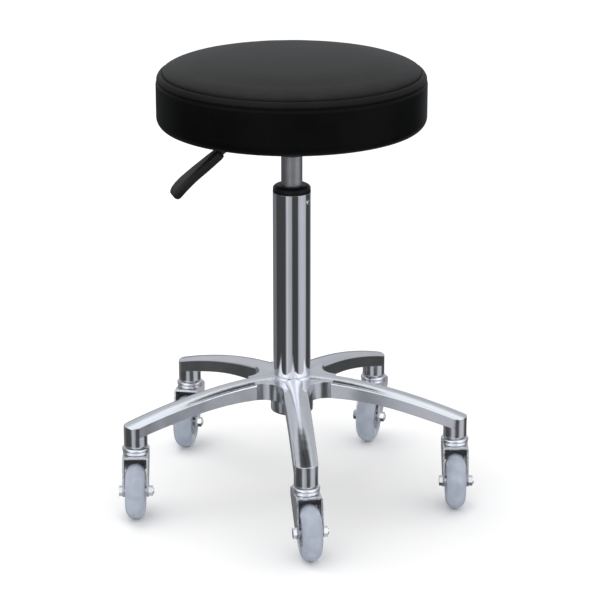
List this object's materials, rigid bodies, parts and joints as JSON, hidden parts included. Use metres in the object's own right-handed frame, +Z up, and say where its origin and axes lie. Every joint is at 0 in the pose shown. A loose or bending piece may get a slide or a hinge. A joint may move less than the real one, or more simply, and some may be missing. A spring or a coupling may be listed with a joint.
{
  "type": "rolling stylist stool",
  "caption": "Round padded stool on a height-adjustable gas column, with a release lever and a cast star base on swivel casters.",
  "frame": {"origin": "point on the floor directly below the column's axis", "axes": "+Z up along the column's axis; -Y along the front arm of the base"},
  "size_m": [0.4679, 0.4894, 0.59],
  "materials": {
    "polished_aluminium": "polished cast aluminium",
    "chrome_tube": "mirror chrome plate",
    "chrome_hardware": "bright chrome plate",
    "zinc_plate": "bright zinc plate on pressed steel",
    "ground_steel": "ground and polished steel",
    "satin_steel": "satin grey plated steel",
    "spring_steel": "zinc-plated steel",
    "black_steel": "black powder coat",
    "black_nylon": "moulded nylon",
    "black_handle": "satin moulded plastic",
    "black_rubber": "rubber",
    "plywood": "bare birch plywood",
    "black_cambric": "non-woven dust cloth",
    "black_vinyl": "satin black vinyl",
    "foam": "open-cell foam",
    "grey_core": "moulded core",
    "clear_polyurethane": "translucent blue-grey polyurethane"
  },
  "bodies": {
    "base": {"star_base": "polished_aluminium", "column_tube": "chrome_tube", "guide_bush": "black_nylon", "bush_screw": "chrome_hardware", "caster_stem_1": "zinc_plate", "caster_stem_2": "zinc_plate", "caster_stem_3": "zinc_plate", "caster_stem_4": "zinc_plate", "caster_stem_5": "zinc_plate"},
    "rod": {"piston_rod": "ground_steel", "rod_clip": "spring_steel", "thrust_bearing": "ground_steel", "bump_stop": "black_rubber", "piston": "black_nylon"},
    "seat": {"gas_cylinder": "satin_steel", "rod_guide": "black_nylon", "cone_socket": "black_steel", "seat_plate": "black_steel", "lever_pin": "spring_steel", "seat_bolts": "spring_steel", "tee_nuts": "spring_steel", "seat_board": "plywood", "dust_cover": "black_cambric", "cover_top": "black_vinyl", "cover_side": "black_vinyl", "seam_band": "black_vinyl", "seat_foam": "foam"},
    "lever": {"lever_rod": "black_steel", "lever_paddle": "black_handle"},
    "button": {"valve_button": "ground_steel"},
    "fork_1": {"caster_fork_1": "zinc_plate", "caster_balls_1": "ground_steel", "caster_axle_1": "chrome_hardware"},
    "wheel_1": {"wheel_core_1": "grey_core", "wheel_bearings_1": "ground_steel", "wheel_tyre_1": "clear_polyurethane"},
    "fork_2": {"caster_fork_2": "zinc_plate", "caster_balls_2": "ground_steel", "caster_axle_2": "chrome_hardware"},
    "wheel_2": {"wheel_core_2": "grey_core", "wheel_bearings_2": "ground_steel", "wheel_tyre_2": "clear_polyurethane"},
    "fork_3": {"caster_fork_3": "zinc_plate", "caster_balls_3": "ground_steel", "caster_axle_3": "chrome_hardware"},
    "wheel_3": {"wheel_core_3": "grey_core", "wheel_bearings_3": "ground_steel", "wheel_tyre_3": "clear_polyurethane"},
    "fork_4": {"caster_fork_4": "zinc_plate", "caster_balls_4": "ground_steel", "caster_axle_4": "chrome_hardware"},
    "wheel_4": {"wheel_core_4": "grey_core", "wheel_bearings_4": "ground_steel", "wheel_tyre_4": "clear_polyurethane"},
    "fork_5": {"caster_fork_5": "zinc_plate", "caster_balls_5": "ground_steel", "caster_axle_5": "chrome_hardware"},
    "wheel_5": {"wheel_core_5": "grey_core", "wheel_bearings_5": "ground_steel", "wheel_tyre_5": "clear_polyurethane"}
  },
  "joints": [
    {"name": "seat_swivel", "type": "hinge", "parent": "base", "child": "rod", "pos_m": [0, 0, 0.3], "axis": [0, 0, 1], "continuous": true},
    {"name": "seat_lift", "type": "slide", "parent": "rod", "child": "seat", "axis": [0, 0, 1], "range_m": [0, 0.19]},
    {"name": "lever_lift", "type": "hinge", "parent": "seat", "child": "lever", "pos_m": [-0.03148, -0.00572, 0.4861], "axis": [-0.1788, 0.9839, 0], "range_deg": [0, 5], "stiffness_Nm_per_rad": 6},
    {"name": "valve_press", "type": "slide", "parent": "seat", "child": "button", "axis": [0, 0, -1], "range_m": [0, 0.0032], "stiffness_N_per_m": 2000},
    {"name": "caster_swivel_1", "type": "hinge", "parent": "base", "child": "fork_1", "pos_m": [0, -0.222, 0.083], "axis": [0, 0, 1], "continuous": true},
    {"name": "wheel_spin_1", "type": "hinge", "parent": "fork_1", "child": "wheel_1", "pos_m": [0.00234, -0.2499, 0.0365], "axis": [0.9965, 0.0837, 0], "continuous": true},
    {"name": "caster_swivel_2", "type": "hinge", "parent": "base", "child": "fork_2", "pos_m": [0.21113, -0.0686, 0.083], "axis": [0, 0, 1], "continuous": true},
    {"name": "wheel_spin_2", "type": "hinge", "parent": "fork_2", "child": "wheel_2", "pos_m": [0.20884, -0.09651, 0.0365], "axis": [0.9966, -0.0819, 0], "continuous": true},
    {"name": "caster_swivel_3", "type": "hinge", "parent": "base", "child": "fork_3", "pos_m": [0.13049, 0.1796, 0.083], "axis": [0, 0, 1], "continuous": true},
    {"name": "wheel_spin_3", "type": "hinge", "parent": "fork_3", "child": "wheel_3", "pos_m": [0.12128, 0.15316, 0.0365], "axis": [0.9444, -0.3289, 0], "continuous": true},
    {"name": "caster_swivel_4", "type": "hinge", "parent": "base", "child": "fork_4", "pos_m": [-0.13049, 0.1796, 0.083], "axis": [0, 0, 1], "continuous": true},
    {"name": "wheel_spin_4", "type": "hinge", "parent": "fork_4", "child": "wheel_4", "pos_m": [-0.13759, 0.15252, 0.0365], "axis": [0.9673, -0.2538, 0], "continuous": true},
    {"name": "caster_swivel_5", "type": "hinge", "parent": "base", "child": "fork_5", "pos_m": [-0.21113, -0.0686, 0.083], "axis": [0, 0, 1], "continuous": true},
    {"name": "wheel_spin_5", "type": "hinge", "parent": "fork_5", "child": "wheel_5", "pos_m": [-0.21294, -0.09654, 0.0365], "axis": [0.9979, -0.0645, 0], "continuous": true}
  ],
  "couplings": [
    {"joint": "valve_press", "follows": "lever_lift", "m_per_rad": 0.036}
  ]
}
